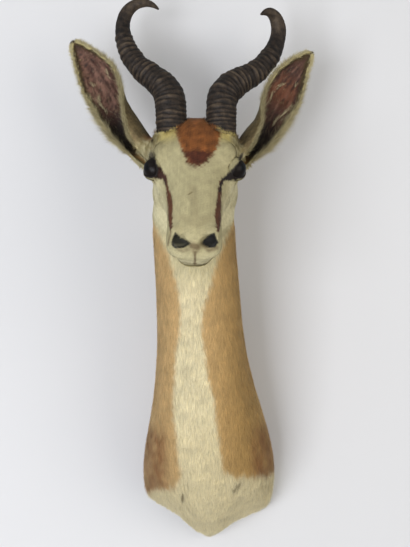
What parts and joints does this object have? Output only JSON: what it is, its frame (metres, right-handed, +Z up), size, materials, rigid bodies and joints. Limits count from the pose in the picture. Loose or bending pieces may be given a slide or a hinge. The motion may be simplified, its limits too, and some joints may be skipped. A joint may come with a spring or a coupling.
{
  "type": "springbok shoulder mount",
  "caption": "Taxidermy springbok head and neck with ringed, inward-hooked horns, upright ears and glass eyes, flat-backed to hang on a wall.",
  "frame": {"origin": "middle of the backing board's rear face, on the wall", "axes": "+Z up as it hangs; +Y out of the back, into the wall; the face looks along -Y"},
  "size_m": [0.3286, 0.2917, 0.7456],
  "materials": {
    "coat": "tanned skin with a short tan, white and rust-brown coat",
    "horn": "dark keratin, dull and ringed, smoother towards the tips",
    "eye": "glossy dark brown glass",
    "board": "planed pine"
  },
  "bodies": {
    "root": {"hide": "coat", "horn_left": "horn", "horn_right": "horn", "eye_left": "eye", "eye_right": "eye", "back_board": "board"}
  },
  "joints": []
}
